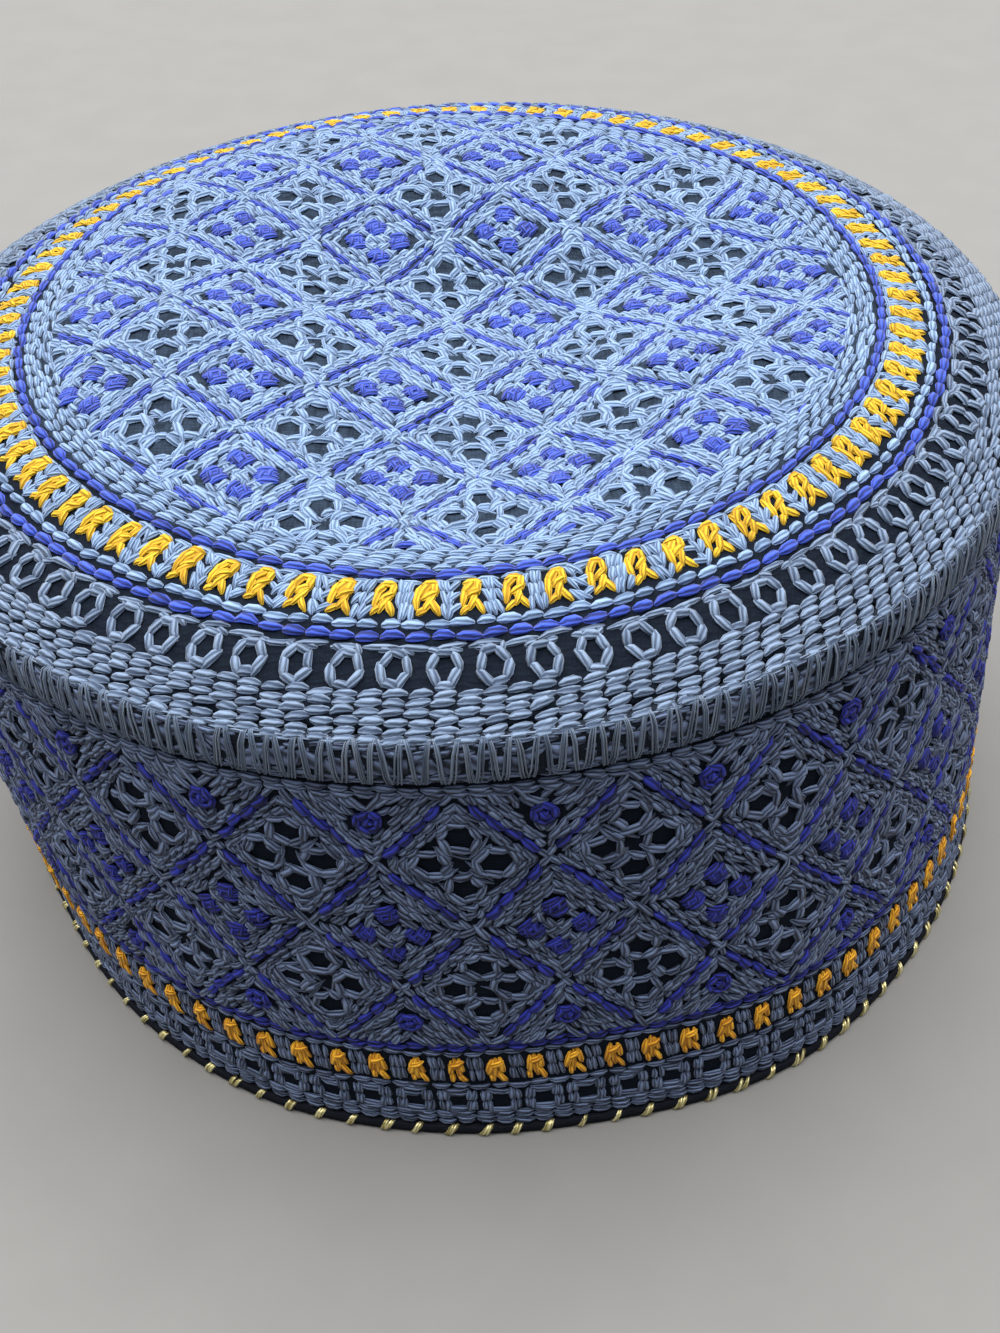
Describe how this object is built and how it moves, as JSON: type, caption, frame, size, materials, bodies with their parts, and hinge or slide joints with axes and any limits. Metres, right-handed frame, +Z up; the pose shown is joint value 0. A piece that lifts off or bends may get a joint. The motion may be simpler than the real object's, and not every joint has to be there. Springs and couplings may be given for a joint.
{
  "type": "kufi",
  "caption": "Round brimless cap with a level embroidered crown, a straight embroidered side band and a piped hem, open below for a head.",
  "frame": {"origin": "centre of the bounding box of the whole hat, on the surface that its hem stands on", "axes": "+Z up from the hem to the crown, -Y towards the front of the picture, +X to its right"},
  "size_m": [0.1862, 0.1838, 0.0969],
  "materials": {
    "embroidered_cloth": "blue-grey chain-stitch embroidery",
    "ground_cloth": "dark slate plain weave under the embroidery",
    "blue_thread": "royal blue twisted thread with a soft sheen",
    "orange_thread": "orange twisted thread with a soft sheen",
    "seam_thread": "grey overlock thread, fuzzy",
    "piping_cloth": "black thread piping",
    "gold_thread": "gold metallised yarn"
  },
  "bodies": {
    "root": {"crown_panel": "embroidered_cloth", "crown_seam": "seam_thread", "side_band": "embroidered_cloth", "hem_piping": "piping_cloth"}
  },
  "joints": []
}
